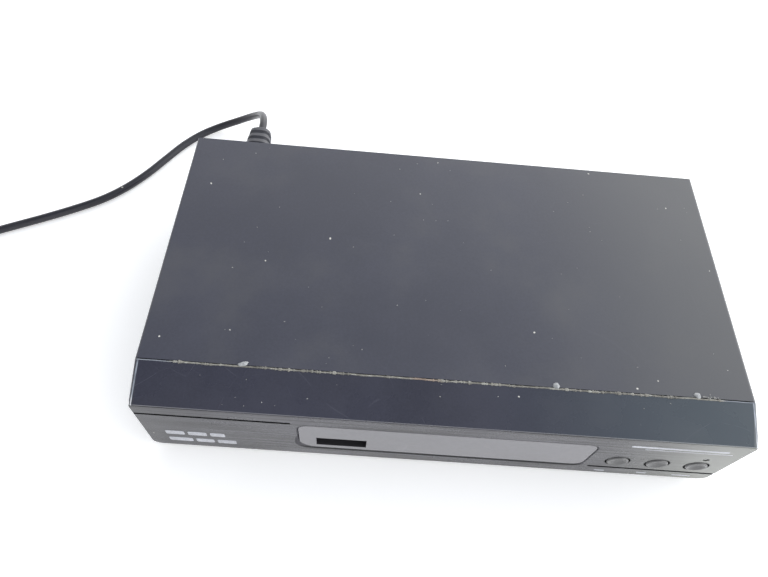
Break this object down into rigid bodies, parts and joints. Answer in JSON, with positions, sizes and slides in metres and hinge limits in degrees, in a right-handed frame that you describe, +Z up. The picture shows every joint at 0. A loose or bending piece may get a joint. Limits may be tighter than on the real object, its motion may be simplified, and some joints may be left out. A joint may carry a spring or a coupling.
{
  "type": "set-top television receiver",
  "caption": "Flat black set-top receiver: steel cover, sloping front hood, smoked window with a USB port, round push buttons and a fixed mains lead.",
  "frame": {"origin": "on the surface that the feet stand on, under the middle of the case and its rear sockets, the free lead not counted", "axes": "+X to the right seen from the front, -Y to the front, +Z up"},
  "size_m": [0.3077, 0.1508, 0.036],
  "materials": {
    "black_steel": "satin dark grey-black paint, dusty",
    "tray_steel": "zinc-plated sheet",
    "black_plastic": "semi-gloss moulded black",
    "plate_plastic": "dark grey, brushed along its length",
    "smoked_plastic": "smooth smoked grey",
    "button_plastic": "smooth grey",
    "board_green": "solder-masked board",
    "chip_black": "matt moulded black",
    "bright_metal": "bright plated",
    "lens_clear": "dark clear",
    "pale_plastic": "off-white nylon",
    "foot_rubber": "soft black rubber",
    "lead_black": "satin black flexible PVC"
  },
  "bodies": {
    "case": {"aerial_in_socket": "bright_metal", "aerial_out_socket": "bright_metal", "base_tray": "tray_steel", "board_header": "pale_plastic", "board_pillar_1": "bright_metal", "board_pillar_2": "bright_metal", "board_pillar_3": "bright_metal", "board_pillar_4": "bright_metal", "board_pillar_5": "bright_metal", "board_pillar_6": "bright_metal", "channel_down_switch": "chip_black", "channel_up_switch": "chip_black", "coil_tie": "chip_black", "cover_screw_1": "bright_metal", "cover_screw_2": "bright_metal", "cover_screw_3": "bright_metal", "cover_screw_4": "bright_metal", "display_module": "chip_black", "display_window": "smoked_plastic", "fascia_panel": "plate_plastic", "foot_front_left": "foot_rubber", "foot_front_right": "foot_rubber", "foot_rear_left": "foot_rubber", "foot_rear_right": "foot_rubber", "front_bezel": "black_plastic", "front_board": "board_green", "hdmi_shell": "bright_metal", "hdmi_tongue": "chip_black", "heat_sink": "bright_metal", "infrared_receiver": "chip_black", "lead_coil": "lead_black", "main_board": "board_green", "mains_fuse": "pale_plastic", "mains_lead": "lead_black", "memory_chip": "chip_black", "plug_body": "lead_black", "plug_lead": "lead_black", "plug_pin_left": "bright_metal", "plug_pin_right": "bright_metal", "power_board": "board_green", "power_ribbon": "chip_black", "processor": "chip_black", "scart_socket": "chip_black", "smoothing_capacitor": "bright_metal", "standby_switch": "chip_black", "status_lamp": "lens_clear", "status_lens": "lens_clear", "strain_relief": "lead_black", "supply_plug": "pale_plastic", "top_cover": "black_steel", "transformer": "chip_black", "tuner_can": "bright_metal", "usb_shell": "bright_metal", "usb_tongue": "chip_black"},
    "channel_down_key": {"channel_down_button": "button_plastic", "channel_down_plunger": "pale_plastic"},
    "channel_up_key": {"channel_up_button": "button_plastic", "channel_up_plunger": "pale_plastic"},
    "standby_key": {"standby_button": "button_plastic", "standby_plunger": "pale_plastic"}
  },
  "joints": [
    {"name": "channel_down_press", "type": "slide", "parent": "case", "child": "channel_down_key", "axis": [0, 1, 0], "range_m": [0, 0.0005], "stiffness_N_per_m": 800},
    {"name": "channel_up_press", "type": "slide", "parent": "case", "child": "channel_up_key", "axis": [0, 1, 0], "range_m": [0, 0.0005], "stiffness_N_per_m": 800},
    {"name": "standby_press", "type": "slide", "parent": "case", "child": "standby_key", "axis": [0, 1, 0], "range_m": [0, 0.0005], "stiffness_N_per_m": 800}
  ]
}
